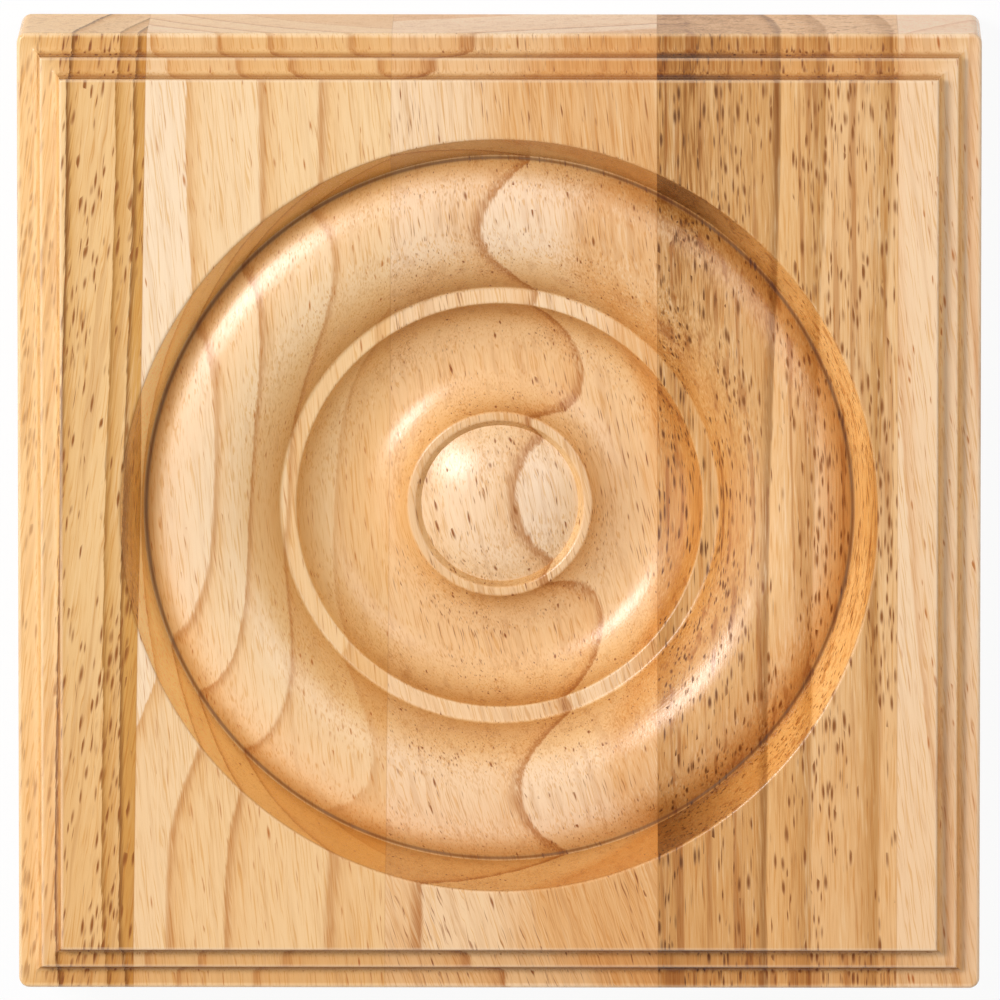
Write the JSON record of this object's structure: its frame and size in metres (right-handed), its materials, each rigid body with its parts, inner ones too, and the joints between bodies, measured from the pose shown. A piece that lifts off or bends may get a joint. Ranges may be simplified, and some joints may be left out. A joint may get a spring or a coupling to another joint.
{
  "type": "corner rosette block",
  "caption": "Square hardwood corner block with a two-step moulded edge and a sunk turned bullseye rosette, where door or window casing meets at a corner.",
  "frame": {"origin": "middle of the flat back face", "axes": "+Z straight out of the carved face, +Y along the grain and up when the block is on a wall, +X to the right"},
  "size_m": [0.1016, 0.1016, 0.0222],
  "materials": {
    "wood": "bare sanded pale hardwood, edge-glued staves with short dark pores, faint satin sheen"
  },
  "bodies": {
    "root": {"rosette_block": "wood"}
  },
  "joints": []
}
